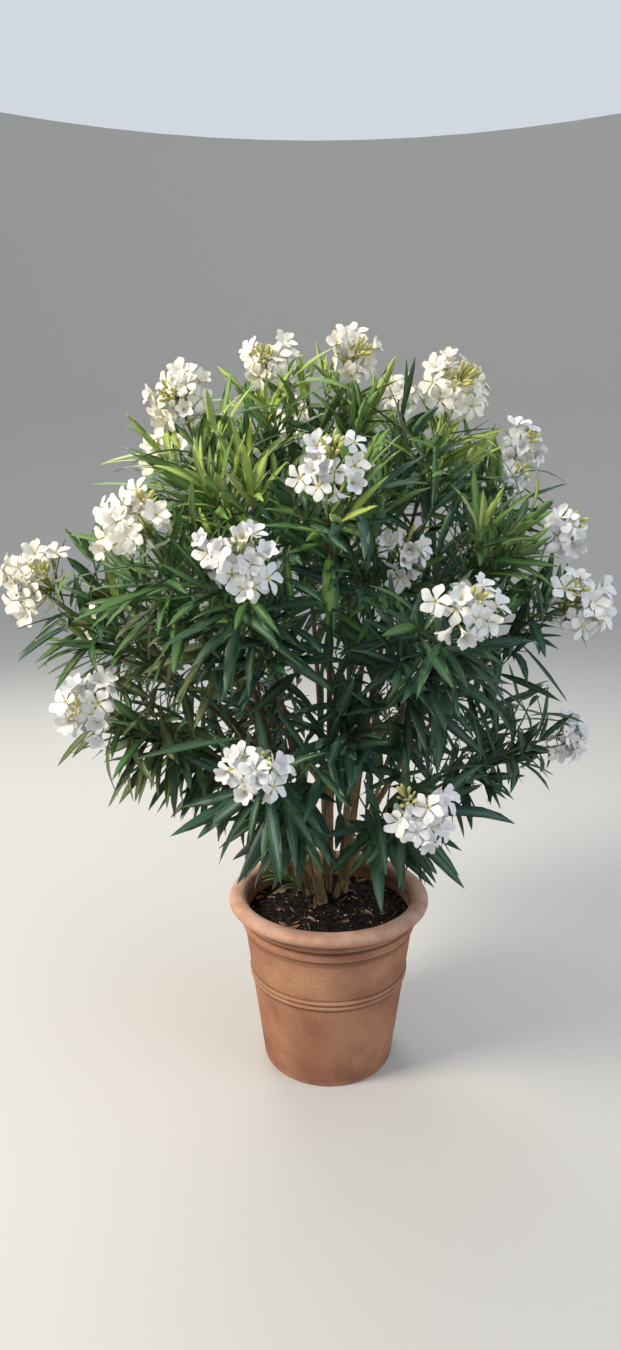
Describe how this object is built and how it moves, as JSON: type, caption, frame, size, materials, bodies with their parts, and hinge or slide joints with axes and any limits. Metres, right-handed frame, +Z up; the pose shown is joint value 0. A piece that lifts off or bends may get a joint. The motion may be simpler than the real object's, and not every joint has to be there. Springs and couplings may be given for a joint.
{
  "type": "potted oleander",
  "caption": "White-flowered evergreen oleander shrub of many leaning canes, grown in a round terracotta pot with banded rim; ornamental patio plant that stands on the flat underside of its pot.",
  "frame": {"origin": "centre of the pot's flat underside, which stands on the ground", "axes": "+Z up along the pot's axis, -Y towards the viewer of the picture, +X to the viewer's right"},
  "size_m": [1.2455, 1.1441, 1.6351],
  "materials": {
    "terracotta": "matte, unglazed fired clay",
    "compost": "rough, moist potting compost",
    "bark": "matte, lightly ridged bark",
    "leaf": "leathery semi-gloss leaves with matte white blossoms"
  },
  "bodies": {
    "root": {"pot": "terracotta", "compost": "compost", "cane_left": "bark", "cane_left_tall": "bark", "cane_centre": "bark", "cane_right": "bark", "cane_right_tall": "bark", "cane_back_left": "bark", "cane_back": "bark", "cane_back_right": "bark", "cane_front": "bark", "bough_far_left": "bark", "bough_low_left": "bark", "bough_low_left_leafy": "bark", "bough_top_middle_left": "bark", "bough_front_left": "bark", "bough_young_left": "bark", "bough_front_upper": "bark", "bough_inner": "bark", "bough_low_middle": "bark", "bough_front_right": "bark", "bough_low_right": "bark", "bough_right_leafy": "bark", "bough_upper_right": "bark", "bough_left_low_back": "bark", "bough_back_left": "bark", "bough_back": "bark", "bough_back_low_left": "bark", "bough_back_right": "bark", "bough_back_low_right": "bark", "bough_low_front_right": "bark", "foliage_left_upper": "leaf", "foliage_far_left": "leaf", "foliage_low_left": "leaf", "foliage_low_left_leafy": "leaf", "foliage_top_left": "leaf", "foliage_top_middle_left": "leaf", "foliage_front_left": "leaf", "foliage_young_left": "leaf", "foliage_top_middle": "leaf", "foliage_front_upper": "leaf", "foliage_inner": "leaf", "foliage_low_middle": "leaf", "foliage_far_right": "leaf", "foliage_front_right": "leaf", "foliage_low_right": "leaf", "foliage_right_leafy": "leaf", "foliage_top_right": "leaf", "foliage_upper_right": "leaf", "foliage_left_back": "leaf", "foliage_left_low_back": "leaf", "foliage_back_left": "leaf", "foliage_back_top_left": "leaf", "foliage_back": "leaf", "foliage_back_low_left": "leaf", "foliage_back_top": "leaf", "foliage_back_right": "leaf", "foliage_back_low_right": "leaf", "foliage_low_front_left": "leaf", "foliage_low_front_right": "leaf"}
  },
  "joints": []
}
